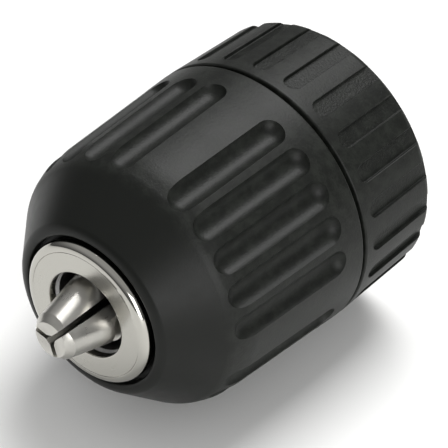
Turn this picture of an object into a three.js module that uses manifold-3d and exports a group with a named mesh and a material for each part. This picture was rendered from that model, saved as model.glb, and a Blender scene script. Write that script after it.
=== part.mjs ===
// A hand-tightened keyless drill chuck: two plastic grip sleeves over a steel body, three sliding jaws,
// a split nut that drives them, and a ball thrust bearing behind the nut.
//
// Millimetres, +Z up. The chuck lies along Y with its nose towards -Y. The origin is on the spindle axis,
// in the plane of the rear face that seats on the spindle's shoulder. A station is a distance forward of
// that face, so a point at station t has y = -t. Angles go round the axis from +Z towards +X.

import * as THREE from "three";
import { mergeVertices } from "three/addons/utils/BufferGeometryUtils.js";
import Module from "manifold-3d";

const wasm = await Module();
wasm.setup();

// ---------------------------------------------------------------- driving sizes

// clearances
const RUNNING_GAP = 0.15; // between rings that turn or press on each other
const PRESS_GAP = 0.3; // between the sleeves and what they are pressed over
const JAW_GAP = 0.2; // between a jaw and its guide hole
const SLEEVE_EXTRA_GAP = 0.05; // more room where the front sleeve runs on the nut and the nose cap
const BEARING_EXTRA_GAP = 0.1; // more room round the bearing
const THREAD_GAP = 0.25; // between the nut's thread and the teeth of the jaws

// lengths along the spindle axis, from the back to the front
const HUB_STICKS_OUT = 2; // behind the rear sleeve
const REAR_SLEEVE_LENGTH = 16.3;
const SLEEVE_SEAM = 0.6; // the gap between the sleeves
const FRONT_SLEEVE_LENGTH = 34.2;
const CAP_PROUD = 1.1; // of the front sleeve's lip
const JAW_STICKS_OUT = 6.9; // of the nose cap, with the jaws shut

// capacity and spindle
const SHANK_RADIUS_MAX = 6.5;
const SHANK_RADIUS_MIN = 0.75;
const SHANK_GAP = 0.05;
const SPINDLE_MAJOR_RADIUS = 6.35;
const SPINDLE_MINOR_RADIUS = 5.65;
const SPINDLE_PITCH = 1.27;
const SPINDLE_DEPTH = 16.5;
const SCREW_HOLE_RADIUS = 3.4;
const SCREW_WEB = 3.5; // left between the spindle bore and the shank bore

// jaws
const JAW_COUNT = 3;
const JAW_RADIUS = 3.3;
const JAW_ANGLE = 15; // degrees between a jaw and the spindle axis
const JAW_FIRST_PLACE = -17; // degrees round the spindle axis
const JAW_SIDE_GAP = 0.8; // between neighbouring jaws, with the jaws shut
const JAW_TIP_BEVEL = 0.65;
const JAW_TIP_BEVEL_LENGTH = 1.1;
const JAW_REAR_GAP = 1.5; // to the rear sleeve's wall, with the jaws wide open

// teeth of the jaws and thread of the nut, measured along the spindle axis
const TOOTH_PITCH = 2;
const TOOTH_WIDTH = 0.9;
const TOOTH_DEPTH = 1.3;
const NUT_THREAD_DEPTH = 1;
const TOOTH_SIDE_GAP = 0.2;

// body
const DRUM_REAR_GAP = 0.4; // to the rear sleeve's wall
const DRUM_STOPS_SHORT = 0.5; // of the rear sleeve's front edge
const KNURL_DEPTH = 0.35;
const KNURL_TEETH = 20;
const HUB_WALL = 0.5; // inside the jaw holes
const THRUST_FLANGE_WIDTH = 1.8;
const BEARING_SEAT_WALL = 0.46; // outside the jaw holes
const SHOULDER_WALL = 1.6; // outside the jaw holes
const SHOULDER_LENGTH = 12.5;
const NOSE_WALL = 1.45; // outside the jaw holes

// bearing
const BALL_COUNT = 18;
const BALL_RADIUS = 1.1;
const RACE_THICKNESS = 1.1;
const RACE_WIDTH = 3;
const RACE_TRACK_DEPTH = 0.35;
const CAGE_THICKNESS = 1;

// nut
const NUT_LENGTH = 7;
const NUT_WALL = 2.4;
const NUT_SPLIT_GAP = 0.3;
const BAND_WALL = 1.25;

// sleeves
const GRIP_WALL = 2.9; // over the bearing
const SLEEVE_EDGE = 0.3;
const REAR_RIM_DROP = 0.3; // from the sleeves' joint to the rear rim
const REAR_RIM_ROUND = 1.7;
const REAR_WALL = 1.6;
const SLOT_COUNT = 24;
const SLOT_WIDTH = 2.7;
const SLOT_DEPTH = 0.65;
const SLOT_STOPS_SHORT = 1.8; // of the rear sleeve's front edge
const SLOT_FIRST_PLACE = 28.8;
const GRIP_DROP = 1.15; // from the sleeves' joint to the shoulder
const SHOULDER_BEVEL_LENGTH = 3; // between the grip and the nose cone
const SHOULDER_BEVEL_DROP = 1.05;
const CONE_LENGTH = 7.5;
const CONE_WALL = 3.2; // radially
const LIP_WIDTH = 1.7;
const LIP_ROUND = 0.9;
const NOSE_HOLE_DEPTH = 1.5;
const SLEEVE_GUIDE_LENGTH = 1.6; // the inner lip that runs on the nose cap
const SLEEVE_FRONT_STEP = 0.6; // where the bore narrows in front of the nut
const FLUTE_GROUPS = 4;
const FLUTES_IN_GROUP = 5;
const FLUTE_WIDTH = 4.7;
const FLUTE_DEPTH = 1.4;
const FLUTE_LENGTH = 24;
const FLUTE_STOPS_SHORT = 3.6; // of the front sleeve's rear edge
const FLUTE_FIRST_PLACE = 25.2;

// nose cap
const CAP_WALL = 0.8;
const CAP_DISC = 1.2;
const CAP_RIM_LIP = 0.52;
const CAP_RIM_ROUND = 0.9;
const CAP_RIM_WIDTH = 1.9;
const CAP_SIDE_GAP = 0.65; // to the front sleeve's nose hole
const CAP_SKIRT_LENGTH = 9;
const CAP_HOLE_STEP = 0.15; // wider than the shank bore

// facets
const RING_SEGMENTS = 36;
const SLEEVE_SEGMENTS = 36;
const BORE_SEGMENTS = 16;

// ---------------------------------------------------------------- stations, from the back to the front

const rearSleeveBack = HUB_STICKS_OUT;
const rearSleeveFront = rearSleeveBack + REAR_SLEEVE_LENGTH;
const frontSleeveBack = rearSleeveFront + SLEEVE_SEAM;
const frontSleeveFront = frontSleeveBack + FRONT_SLEEVE_LENGTH;
const capFront = frontSleeveFront + CAP_PROUD;
const capDiscBack = capFront - CAP_DISC;
const bodyFront = capDiscBack - RUNNING_GAP;
const jawTip = capFront + JAW_STICKS_OUT;

const drumBack = rearSleeveBack + REAR_WALL + DRUM_REAR_GAP;
const drumFront = rearSleeveFront - DRUM_STOPS_SHORT;
const flangeFront = drumFront + THRUST_FLANGE_WIDTH;
const ballSeat = BALL_RADIUS + RUNNING_GAP - RACE_TRACK_DEPTH; // from a race's face to a ball's centre
const rearRaceBack = flangeFront + RUNNING_GAP;
const ballMiddle = rearRaceBack + RACE_THICKNESS + ballSeat;
const frontRaceBack = ballMiddle + ballSeat;
const nutBack = frontRaceBack + RACE_THICKNESS + RUNNING_GAP;
const nutFront = nutBack + NUT_LENGTH;
const shoulderBack = nutFront + 2 * RUNNING_GAP;
const shoulderFront = shoulderBack + SHOULDER_LENGTH;
const coneBack = frontSleeveFront - CONE_LENGTH;
const gripFront = coneBack - SHOULDER_BEVEL_LENGTH;
const shankBoreBottom = SPINDLE_DEPTH + SCREW_WEB;

// ---------------------------------------------------------------- radii, from the jaws outwards

// The jaws' centre lines meet the spindle axis in the plane of their shut tips.
const slant = THREE.MathUtils.degToRad(JAW_ANGLE);
const jawCentre = (station) => (jawTip - station) * Math.tan(slant);
const jawFlank = (station) => jawCentre(station) + JAW_RADIUS / Math.cos(slant);
const jawHoleOutside = (station) => jawCentre(station) + (JAW_RADIUS + JAW_GAP) / Math.cos(slant);
const jawHoleInside = (station) => jawCentre(station) - (JAW_RADIUS + JAW_GAP) / Math.cos(slant);
const jawSpread = SHANK_RADIUS_MAX - SHANK_RADIUS_MIN;
const jawTravel = jawSpread / Math.tan(slant); // along the spindle axis
const jawBack = rearSleeveBack + REAR_WALL + JAW_REAR_GAP + jawTravel;
const teethFront = nutFront + jawTravel + TOOTH_PITCH / 2; // so that the nut meets teeth with the jaws wide open

const hubRadius = jawHoleInside(drumBack) - HUB_WALL;
const bearingSeatRadius = jawHoleOutside(flangeFront) + BEARING_SEAT_WALL;
const raceInnerRadius = bearingSeatRadius + RUNNING_GAP;
const raceOuterRadius = raceInnerRadius + RACE_WIDTH;
const ballPitchRadius = (raceInnerRadius + raceOuterRadius) / 2;
const bearingBore = raceOuterRadius + RUNNING_GAP + BEARING_EXTRA_GAP;
const sleeveRadius = bearingBore + GRIP_WALL;
const drumRadius = bearingBore - PRESS_GAP;

const nutRoot = (station) => jawFlank(station) + THREAD_GAP;
const nutCrest = (station) => nutRoot(station) - NUT_THREAD_DEPTH;
const nutOuterRadius = nutRoot(nutBack) + NUT_WALL;
const bandInnerRadius = nutOuterRadius + RUNNING_GAP;
const bandOuterRadius = bandInnerRadius + BAND_WALL;
const nutBore = bandOuterRadius + RUNNING_GAP + SLEEVE_EXTRA_GAP;
const nutGrooveRadius = nutCrest(nutFront) - 2 * RUNNING_GAP;

const shoulderRadius = jawHoleOutside(shoulderBack) + SHOULDER_WALL;
const noseRadius = jawHoleOutside(shoulderFront) + NOSE_WALL;
const shankBoreRadius = SHANK_RADIUS_MAX + SHANK_GAP;
const capHoleRadius = shankBoreRadius + CAP_HOLE_STEP;
const capInnerRadius = noseRadius + RUNNING_GAP;
const capSkirtRadius = capInnerRadius + CAP_WALL;
const capRimRadius = capSkirtRadius + CAP_RIM_LIP;
const guideRadius = capSkirtRadius + RUNNING_GAP + SLEEVE_EXTRA_GAP;
const noseHoleRadius = capRimRadius + CAP_SIDE_GAP;
const lipRadius = noseHoleRadius + LIP_WIDTH;
const gripFrontRadius = sleeveRadius - GRIP_DROP;
const coneRadius = gripFrontRadius - SHOULDER_BEVEL_DROP;
const rearRimRadius = sleeveRadius - REAR_RIM_DROP;

// ---------------------------------------------------------------- solids

// A closed three.js geometry as a solid that can be cut and joined.
function solidOf(geometry) {
  const loose = geometry.index ? geometry.toNonIndexed() : geometry;
  const bare = new THREE.BufferGeometry().setAttribute("position", loose.getAttribute("position"));
  const merged = mergeVertices(bare, 1e-4);
  const corners = merged.index.array;
  const faces = [];
  for (let i = 0; i < corners.length; i += 3) {
    const [a, b, c] = [corners[i], corners[i + 1], corners[i + 2]];
    if (a !== b && b !== c && c !== a) faces.push(a, b, c);
  }
  const vertProperties = merged.getAttribute("position").array;
  const make = (triangles) => {
    const mesh = new wasm.Mesh({ numProp: 3, vertProperties, triVerts: new Uint32Array(triangles) });
    return new wasm.Manifold(mesh);
  };
  const solid = make(faces);
  return solid.volume() < 0 ? make(faces.reverse()) : solid;
}

function geometryOf(solid) {
  const mesh = solid.getMesh();
  const geometry = new THREE.BufferGeometry()
    .setAttribute("position", new THREE.BufferAttribute(mesh.vertProperties, 3))
    .setIndex(new THREE.BufferAttribute(mesh.triVerts, 1));
  geometry.computeVertexNormals();
  return geometry;
}

const shift = (x, y, z) => new THREE.Matrix4().makeTranslation(x, y, z);
const spin = (degrees) => new THREE.Matrix4().makeRotationY(THREE.MathUtils.degToRad(degrees));
const tilt = (degrees) => new THREE.Matrix4().makeRotationX(THREE.MathUtils.degToRad(degrees));
const joined = (solids) => solids.reduce((all, one) => all.add(one));
const repeated = (count, make) => Array.from({ length: count }, (_, i) => make(i));

// A solid made from a copy of a geometry, moved through the steps in turn.
function moved(geometry, ...steps) {
  const copy = geometry.clone();
  steps.forEach((step) => copy.applyMatrix4(step));
  return solidOf(copy);
}

// A ring or shaft turned round the spindle axis. Its outline is a list of [radius, station] that ends on
// the axis at both ends, or is closed on itself here.
function turned(outline, segments = RING_SEGMENTS) {
  const points = outline.map(([radius, station]) => new THREE.Vector2(radius, -station));
  const touchesAxis = outline[0][0] === 0 && outline.at(-1)[0] === 0;
  if (!touchesAxis) points.push(points[0].clone());
  return solidOf(new THREE.LatheGeometry(points, segments));
}

// Part of a circle as outline points. Zero degrees points to the front and 90 points outwards.
function arc(centreRadius, centreStation, radius, fromDegrees, toDegrees, steps = 3) {
  return repeated(steps + 1, (i) => {
    const angle = THREE.MathUtils.degToRad(fromDegrees + ((toDegrees - fromDegrees) * i) / steps);
    return [centreRadius + radius * Math.sin(angle), centreStation + radius * Math.cos(angle)];
  });
}

// An outline carried along a screw path. The outline may change with the angle turned, in radians, and
// both ends are closed by flat faces.
function screwSolid(turns, stepsPerTurn, outlineAt) {
  const steps = Math.round(turns * stepsPerTurn);
  const count = outlineAt(0).length;
  const positions = [];
  for (let i = 0; i <= steps; i++) {
    const angle = (i / stepsPerTurn) * 2 * Math.PI;
    outlineAt(angle).forEach(([radius, station]) => {
      positions.push(radius * Math.sin(angle), -station, radius * Math.cos(angle));
    });
  }
  const index = [];
  for (let i = 0; i < steps; i++) {
    for (let k = 0; k < count; k++) {
      const a = i * count + k;
      const b = i * count + ((k + 1) % count);
      index.push(a, b, a + count, b, b + count, a + count);
    }
  }
  const last = steps * count;
  for (let k = 1; k < count - 1; k++) {
    index.push(0, k + 1, k, last, last + k, last + k + 1);
  }
  const geometry = new THREE.BufferGeometry()
    .setAttribute("position", new THREE.Float32BufferAttribute(positions, 3))
    .setIndex(index);
  return solidOf(geometry);
}

// ---------------------------------------------------------------- jaws

const FAR = 100; // longer than anything here, for cutters that pass right through
const jawPlace = (number) => JAW_FIRST_PLACE + (360 / JAW_COUNT) * number;

// A round bar along the slant of a jaw that stands over +Z, turned to its place round the spindle axis.
function slantedBar(radius, place = 0) {
  const bar = new THREE.CylinderGeometry(radius, radius, 2 * FAR, BORE_SEGMENTS);
  return moved(bar, tilt(JAW_ANGLE), shift(0, -jawTip, 0), spin(place));
}

// The sector that keeps a jaw clear of its neighbours. Its flat inner edge grips the smallest shank.
function jawSector() {
  const half = Math.PI / JAW_COUNT;
  const apex = JAW_SIDE_GAP / 2 / Math.sin(half);
  const gripHalf = (SHANK_RADIUS_MIN - apex) * Math.tan(half);
  const farHalf = (FAR - apex) * Math.tan(half);
  const outline = new THREE.Shape([
    new THREE.Vector2(-gripHalf, -SHANK_RADIUS_MIN),
    new THREE.Vector2(-farHalf, -FAR),
    new THREE.Vector2(farHalf, -FAR),
    new THREE.Vector2(gripHalf, -SHANK_RADIUS_MIN),
  ]);
  const sector = new THREE.ExtrudeGeometry(outline, { depth: FAR, bevelEnabled: false });
  return moved(sector, tilt(-90), shift(0, -FAR, 0));
}

// The space behind the tip's bevel and inside the rear sleeve when the jaw is wide open.
function jawLimits() {
  const bevelBack = jawTip - JAW_TIP_BEVEL_LENGTH;
  const ends = turned([
    [0, jawBack],
    [FAR, jawBack],
    [FAR, bevelBack - FAR * Math.tan(slant)],
    [jawFlank(bevelBack), bevelBack],
    [jawFlank(jawTip) - JAW_TIP_BEVEL, jawTip],
    [0, jawTip],
  ]);
  const openRoom = new THREE.CylinderGeometry(drumRadius, drumRadius, 2 * FAR, SLEEVE_SEGMENTS);
  return ends.intersect(moved(openRoom, shift(0, 0, -jawSpread)));
}

function jaw(number) {
  const blank = slantedBar(JAW_RADIUS).intersect(jawSector()).intersect(jawLimits());
  // The nut's thread crosses this jaw with its ridges at these stations.
  const firstRidge = nutBack - (jawPlace(number) / 360) * TOOTH_PITCH;
  const pitchesBack = Math.ceil((firstRidge - jawBack) / TOOTH_PITCH); // to the gap at or behind the jaw's back
  const firstGap = firstRidge - pitchesBack * TOOTH_PITCH;
  const gapCount = Math.floor((teethFront - firstGap) / TOOTH_PITCH) + 1;
  const gap = new THREE.BoxGeometry(4 * JAW_RADIUS, TOOTH_PITCH - TOOTH_WIDTH, 4 * TOOTH_DEPTH);
  const gaps = repeated(gapCount, (i) => {
    const station = firstGap + i * TOOTH_PITCH;
    return moved(gap, shift(0, -station, jawFlank(station) + TOOTH_DEPTH));
  });
  return blank.subtract(joined(gaps));
}

// ---------------------------------------------------------------- body

function spindleThread() {
  const reach = 0.3; // inside the crests, so that the cut is clean
  const flank = (SPINDLE_MAJOR_RADIUS - SPINDLE_MINOR_RADIUS + reach) / Math.sqrt(3);
  const root = 0.08;
  const turns = Math.floor(SPINDLE_DEPTH / SPINDLE_PITCH) - 1;
  return screwSolid(turns, BORE_SEGMENTS / 2, (angle) => {
    const middle = SPINDLE_PITCH * (0.5 + angle / (2 * Math.PI));
    return [
      [SPINDLE_MINOR_RADIUS - reach, middle - flank],
      [SPINDLE_MAJOR_RADIUS, middle - root],
      [SPINDLE_MAJOR_RADIUS, middle + root],
      [SPINDLE_MINOR_RADIUS - reach, middle + flank],
    ];
  });
}

function knurledDrum() {
  const outline = new THREE.Shape(
    repeated(2 * KNURL_TEETH, (i) => {
      const radius = i % 2 ? drumRadius : drumRadius - KNURL_DEPTH;
      const angle = (i / KNURL_TEETH) * Math.PI;
      return new THREE.Vector2(radius * Math.sin(angle), radius * Math.cos(angle));
    }),
  );
  const drum = new THREE.ExtrudeGeometry(outline, { depth: drumFront - drumBack, bevelEnabled: false });
  return moved(drum, tilt(90), shift(0, -drumBack, 0));
}

function body() {
  const edge = 0.5;
  const flangeRadius = drumRadius - KNURL_DEPTH;
  const core = turned([
    [0, 0],
    [hubRadius - edge, 0],
    [hubRadius, edge],
    [hubRadius, (drumBack + drumFront) / 2],
    [flangeRadius, (drumBack + drumFront) / 2],
    [flangeRadius, flangeFront],
    [bearingSeatRadius, flangeFront],
    [bearingSeatRadius, nutBack - RUNNING_GAP],
    [nutGrooveRadius, nutBack - RUNNING_GAP],
    [nutGrooveRadius, shoulderBack],
    [shoulderRadius, shoulderBack],
    [shoulderRadius, shoulderFront - edge],
    [shoulderRadius - edge, shoulderFront],
    [noseRadius, shoulderFront],
    [noseRadius, bodyFront - edge],
    [noseRadius - edge, bodyFront],
    [0, bodyFront],
  ]);
  const mouth = SPINDLE_MAJOR_RADIUS + edge;
  const bores = turned([
    [0, -1],
    [mouth, -1],
    [mouth, 0],
    [SPINDLE_MINOR_RADIUS, mouth - SPINDLE_MINOR_RADIUS],
    [SPINDLE_MINOR_RADIUS, SPINDLE_DEPTH],
    [SCREW_HOLE_RADIUS, SPINDLE_DEPTH],
    [SCREW_HOLE_RADIUS, shankBoreBottom],
    [shankBoreRadius, shankBoreBottom],
    [shankBoreRadius, bodyFront - edge],
    [shankBoreRadius + edge, bodyFront],
    [shankBoreRadius + edge, bodyFront + 1],
    [0, bodyFront + 1],
  ]);
  const jawHoles = repeated(JAW_COUNT, (i) => slantedBar(JAW_RADIUS + JAW_GAP, jawPlace(i)));
  return core.add(knurledDrum()).subtract(bores).subtract(spindleThread()).subtract(joined(jawHoles));
}

// ---------------------------------------------------------------- bearing

// A thrust washer with a track for the balls in one face: 1 for its front face, -1 for its back face.
function race(back, trackSide) {
  const front = back + RACE_THICKNESS;
  const face = trackSide > 0 ? front : back;
  const top = face + trackSide;
  const floor = face - trackSide * RACE_TRACK_DEPTH;
  const trackHalf = Math.sqrt(2 * BALL_RADIUS * RACE_TRACK_DEPTH);
  const washer = turned([
    [raceInnerRadius, back],
    [raceOuterRadius, back],
    [raceOuterRadius, front],
    [raceInnerRadius, front],
  ]);
  const track = turned([
    [ballPitchRadius - trackHalf, top],
    [ballPitchRadius - trackHalf, face],
    [ballPitchRadius - trackHalf / 2, floor],
    [ballPitchRadius + trackHalf / 2, floor],
    [ballPitchRadius + trackHalf, face],
    [ballPitchRadius + trackHalf, top],
  ]);
  return washer.subtract(track);
}

const ballPlace = (number) => (360 / BALL_COUNT) * number;
const ball = () => solidOf(new THREE.SphereGeometry(BALL_RADIUS, 8, 6));

function ballCage() {
  const back = ballMiddle - CAGE_THICKNESS / 2;
  const ring = turned([
    [raceInnerRadius, back],
    [raceOuterRadius, back],
    [raceOuterRadius, back + CAGE_THICKNESS],
    [raceInnerRadius, back + CAGE_THICKNESS],
  ]);
  const pocketRadius = BALL_RADIUS + RUNNING_GAP;
  const pocket = new THREE.CylinderGeometry(pocketRadius, pocketRadius, 2 * CAGE_THICKNESS, 8);
  const pockets = repeated(BALL_COUNT, (i) => {
    return moved(pocket, shift(0, -ballMiddle, ballPitchRadius), spin(ballPlace(i)));
  });
  return ring.subtract(joined(pockets));
}

// ---------------------------------------------------------------- nut

// The ring that is split in two to go into the body's groove. Its thread falls to the back as the angle
// round the axis grows, so turning the nut anticlockwise, seen from the front, draws the jaws back.
function nutRing() {
  const ring = turned([
    [nutCrest(nutBack), nutBack],
    [nutOuterRadius, nutBack],
    [nutOuterRadius, nutFront],
    [nutCrest(nutFront), nutFront],
  ]);
  const half = TOOTH_WIDTH / 2 + TOOTH_SIDE_GAP;
  const turns = Math.ceil(NUT_LENGTH / TOOTH_PITCH) + 2;
  const start = nutBack + (turns - 0.5) * TOOTH_PITCH;
  const groove = screwSolid(turns, RING_SEGMENTS / 2, (angle) => {
    const middle = start - TOOTH_PITCH * (angle / (2 * Math.PI));
    const inside = nutCrest(middle) - NUT_THREAD_DEPTH / 2;
    return [
      [inside, middle - half],
      [nutRoot(middle), middle - half],
      [nutRoot(middle), middle + half],
      [inside, middle + half],
    ];
  });
  return ring.subtract(groove);
}

// Half of the nut: 1 for the +X side of the split, -1 for the other side.
function nutHalf(side) {
  const block = new THREE.BoxGeometry(FAR, FAR, FAR);
  return nutRing().intersect(moved(block, shift((side * (FAR + NUT_SPLIT_GAP)) / 2, 0, 0)));
}

const nutBand = () =>
  turned([
    [bandInnerRadius, nutBack],
    [bandOuterRadius, nutBack],
    [bandOuterRadius, nutFront],
    [bandInnerRadius, nutFront],
  ]);

// ---------------------------------------------------------------- sleeves and nose cap

// A finger flute: a round bar with ball ends, sunk into the tapered grip.
function flute(place) {
  const half = FLUTE_WIDTH / 2;
  const radius = (half * half + FLUTE_DEPTH * FLUTE_DEPTH) / (2 * FLUTE_DEPTH);
  const taper = GRIP_DROP / (gripFront - frontSleeveBack);
  const back = frontSleeveBack + FLUTE_STOPS_SHORT + half;
  const front = frontSleeveBack + FLUTE_STOPS_SHORT + FLUTE_LENGTH - half;
  const middle = (back + front) / 2;
  const height = (station) => sleeveRadius - taper * (station - frontSleeveBack) + radius - FLUTE_DEPTH;
  const end = new THREE.SphereGeometry(radius, 8, 4);
  const bar = new THREE.CylinderGeometry(radius, radius, front - back, 8);
  const slope = THREE.MathUtils.radToDeg(Math.atan(taper));
  return joined([
    moved(end, shift(0, -back, height(back)), spin(place)),
    moved(bar, tilt(slope), shift(0, -middle, height(middle)), spin(place)),
    moved(end, shift(0, -front, height(front)), spin(place)),
  ]);
}

function frontSleeve() {
  const guideFront = frontSleeveFront - NOSE_HOLE_DEPTH;
  const guideBack = guideFront - SLEEVE_GUIDE_LENGTH;
  const nutStep = nutBack + 2 * RUNNING_GAP;
  const frontStep = nutFront + 2 * RUNNING_GAP;
  const frontBore = nutBore - SLEEVE_FRONT_STEP;
  const shell = turned([
    [bearingBore, frontSleeveBack],
    [sleeveRadius - SLEEVE_EDGE, frontSleeveBack],
    [sleeveRadius, frontSleeveBack + SLEEVE_EDGE],
    [gripFrontRadius, gripFront],
    [coneRadius, coneBack],
    ...arc(lipRadius - LIP_ROUND, frontSleeveFront - LIP_ROUND, LIP_ROUND, 60, 0),
    [noseHoleRadius, frontSleeveFront],
    [noseHoleRadius, guideFront],
    [guideRadius, guideFront],
    [guideRadius, guideBack],
    [coneRadius - CONE_WALL, coneBack],
    [frontBore, gripFront],
    [frontBore, frontStep],
    [nutBore, frontStep],
    [nutBore, nutStep],
    [bearingBore, nutStep],
  ], SLEEVE_SEGMENTS);
  const places = FLUTE_GROUPS * (FLUTES_IN_GROUP + 1);
  const flutes = [];
  for (let i = 0; i < places; i++) {
    const isPlain = i % (FLUTES_IN_GROUP + 1) === FLUTES_IN_GROUP;
    if (!isPlain) flutes.push(flute(FLUTE_FIRST_PLACE + (360 / places) * i));
  }
  return shell.subtract(joined(flutes));
}

// A shallow slot with a flat floor and a round front end, open at the rear rim.
function slot(place) {
  const half = SLOT_WIDTH / 2;
  const front = rearSleeveFront - SLOT_STOPS_SHORT;
  const outline = new THREE.Shape();
  outline.moveTo(-half, 0);
  outline.lineTo(-half, -(front - half));
  outline.absarc(0, -(front - half), half, Math.PI, 2 * Math.PI, false);
  outline.lineTo(half, 0);
  const options = { depth: 4 * SLOT_DEPTH, bevelEnabled: false, curveSegments: 3 };
  const cutter = new THREE.ExtrudeGeometry(outline, options);
  return moved(cutter, shift(0, 0, sleeveRadius - SLOT_DEPTH), spin(place));
}

function rearSleeve() {
  const hole = hubRadius + PRESS_GAP;
  const wallFront = rearSleeveBack + REAR_WALL;
  const rimMiddle = rearSleeveBack + REAR_RIM_ROUND;
  const shell = turned([
    [hole, rearSleeveBack],
    ...arc(rearRimRadius - REAR_RIM_ROUND, rimMiddle, REAR_RIM_ROUND, 180, 90),
    [sleeveRadius, rearSleeveFront - SLEEVE_EDGE],
    [sleeveRadius - SLEEVE_EDGE, rearSleeveFront],
    [bearingBore, rearSleeveFront],
    [bearingBore, wallFront],
    [hole, wallFront],
  ], SLEEVE_SEGMENTS);
  const slots = repeated(SLOT_COUNT, (i) => slot(SLOT_FIRST_PLACE + (360 / SLOT_COUNT) * i));
  return shell.subtract(joined(slots));
}

function noseCap() {
  const edge = 0.25;
  const rimBack = capFront - CAP_RIM_WIDTH;
  return turned([
    [capHoleRadius, capDiscBack],
    [capInnerRadius, capDiscBack],
    [capInnerRadius, capFront - CAP_SKIRT_LENGTH],
    [capSkirtRadius, capFront - CAP_SKIRT_LENGTH],
    [capSkirtRadius, rimBack],
    [capRimRadius, rimBack],
    ...arc(capRimRadius - CAP_RIM_ROUND, capFront - CAP_RIM_ROUND, CAP_RIM_ROUND, 90, 0),
    [capHoleRadius + edge, capFront],
    [capHoleRadius, capFront - edge],
  ]);
}

// ---------------------------------------------------------------- materials and assembly

const machinedSteel = new THREE.MeshStandardMaterial({ color: 0x8e8f90, roughness: 0.38, metalness: 1 });
const polishedSteel = new THREE.MeshStandardMaterial({ color: 0xc9c9c6, roughness: 0.12, metalness: 1 });
const jawSteel = new THREE.MeshStandardMaterial({ color: 0xaaa9a4, roughness: 0.3, metalness: 1 });
const darkNutSteel = new THREE.MeshStandardMaterial({ color: 0x4e4f50, roughness: 0.5, metalness: 1 });
const bearingSteel = new THREE.MeshStandardMaterial({ color: 0xb9bbbd, roughness: 0.15, metalness: 1 });
const cageNylon = new THREE.MeshStandardMaterial({ color: 0xb9a06a, roughness: 0.5, metalness: 0 });
const blackNylon = new THREE.MeshStandardMaterial({ color: 0x1d1e1e, roughness: 0.45, metalness: 0 });

const chuck = new THREE.Group();

function place(name, solid, material, parent = chuck) {
  const mesh = new THREE.Mesh(geometryOf(solid), material);
  mesh.name = name;
  parent.add(mesh);
  return mesh;
}

// A group turned round the spindle axis, for pieces that are modelled over +Z.
function placeRound(degrees) {
  const stand = new THREE.Group();
  stand.rotation.y = THREE.MathUtils.degToRad(degrees);
  chuck.add(stand);
  return stand;
}

place("chuck_body", body(), machinedSteel);
place("nose_cap", noseCap(), polishedSteel);
place("rear_sleeve", rearSleeve(), blackNylon);
place("front_sleeve", frontSleeve(), blackNylon);
place("nut_half_left", nutHalf(-1), darkNutSteel);
place("nut_half_right", nutHalf(1), darkNutSteel);
place("nut_band", nutBand(), darkNutSteel);
place("rear_thrust_race", race(rearRaceBack, 1), bearingSteel);
place("front_thrust_race", race(frontRaceBack, -1), bearingSteel);
place("ball_cage", ballCage(), cageNylon);

for (let i = 0; i < BALL_COUNT; i++) {
  const name = "bearing_ball_" + String(i + 1).padStart(2, "0");
  const mesh = place(name, ball(), bearingSteel, placeRound(ballPlace(i)));
  mesh.position.set(0, -ballMiddle, ballPitchRadius);
}

for (let i = 0; i < JAW_COUNT; i++) {
  place("jaw_" + (i + 1), jaw(i), jawSteel, placeRound(jawPlace(i)));
}

export default chuck;
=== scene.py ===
"""Looks of a hand-tightened keyless drill chuck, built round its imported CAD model.

Metres. The chuck lies along Y with its nose towards -Y, and the origin is on the spindle axis in the plane
of the rear face. Places round the axis are in degrees from +Z towards +X. An outline's corner is
(distance from the axis, place along the axis, how much of each side its rounding takes).
"""

import math

import bmesh
import bpy
from mathutils import Matrix, Vector


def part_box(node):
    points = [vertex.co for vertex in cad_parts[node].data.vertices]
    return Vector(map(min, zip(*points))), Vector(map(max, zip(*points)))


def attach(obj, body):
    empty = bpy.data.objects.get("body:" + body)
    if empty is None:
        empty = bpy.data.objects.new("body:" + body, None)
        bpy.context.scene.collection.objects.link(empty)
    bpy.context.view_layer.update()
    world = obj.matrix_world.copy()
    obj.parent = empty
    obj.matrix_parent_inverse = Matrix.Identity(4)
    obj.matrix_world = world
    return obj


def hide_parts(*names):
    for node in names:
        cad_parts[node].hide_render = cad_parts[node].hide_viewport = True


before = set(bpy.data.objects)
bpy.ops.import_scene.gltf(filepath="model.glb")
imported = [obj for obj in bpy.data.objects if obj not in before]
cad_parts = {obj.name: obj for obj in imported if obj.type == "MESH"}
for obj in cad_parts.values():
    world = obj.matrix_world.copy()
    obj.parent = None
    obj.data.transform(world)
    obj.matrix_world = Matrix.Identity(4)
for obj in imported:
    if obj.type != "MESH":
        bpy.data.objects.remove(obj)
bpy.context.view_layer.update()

bl_info = {
    "name": "Keyless drill chuck",
    "version": (1, 0, 0),
    "blender": (4, 5, 0),
    "location": "3D View > Sidebar > Drill Chuck",
    "description": "Models the sleeves, nose cap, jaws and body of a keyless drill chuck, and its stage",
    "category": "Add Mesh",
}

MM = 0.001
FULL_TURN = 2 * math.pi

# ---------------------------------------------------------------- places taken from the frame


def box_of(node):
    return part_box(node)


def radius_of(node):
    return box_of(node)[1].z


SLEEVE_RADIUS = radius_of("front_sleeve")
FRONT_SLEEVE_BACK = box_of("front_sleeve")[1].y
FRONT_SLEEVE_FRONT = box_of("front_sleeve")[0].y
REAR_SLEEVE_BACK = box_of("rear_sleeve")[1].y
REAR_SLEEVE_FRONT = box_of("rear_sleeve")[0].y
CAP_RADIUS = radius_of("nose_cap")
CAP_FRONT = box_of("nose_cap")[0].y
CAP_SKIRT_BACK = box_of("nose_cap")[1].y
BODY_FRONT = box_of("chuck_body")[0].y
DRUM_RADIUS = box_of("chuck_body")[1].z
JAW_TIP = box_of("jaw_1")[0].y
JAW_BACK = box_of("jaw_1")[1].y
NUT_BACK = box_of("nut_band")[1].y
NUT_FRONT = box_of("nut_band")[0].y
REAR_RACE_BACK = box_of("rear_thrust_race")[1].y

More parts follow.
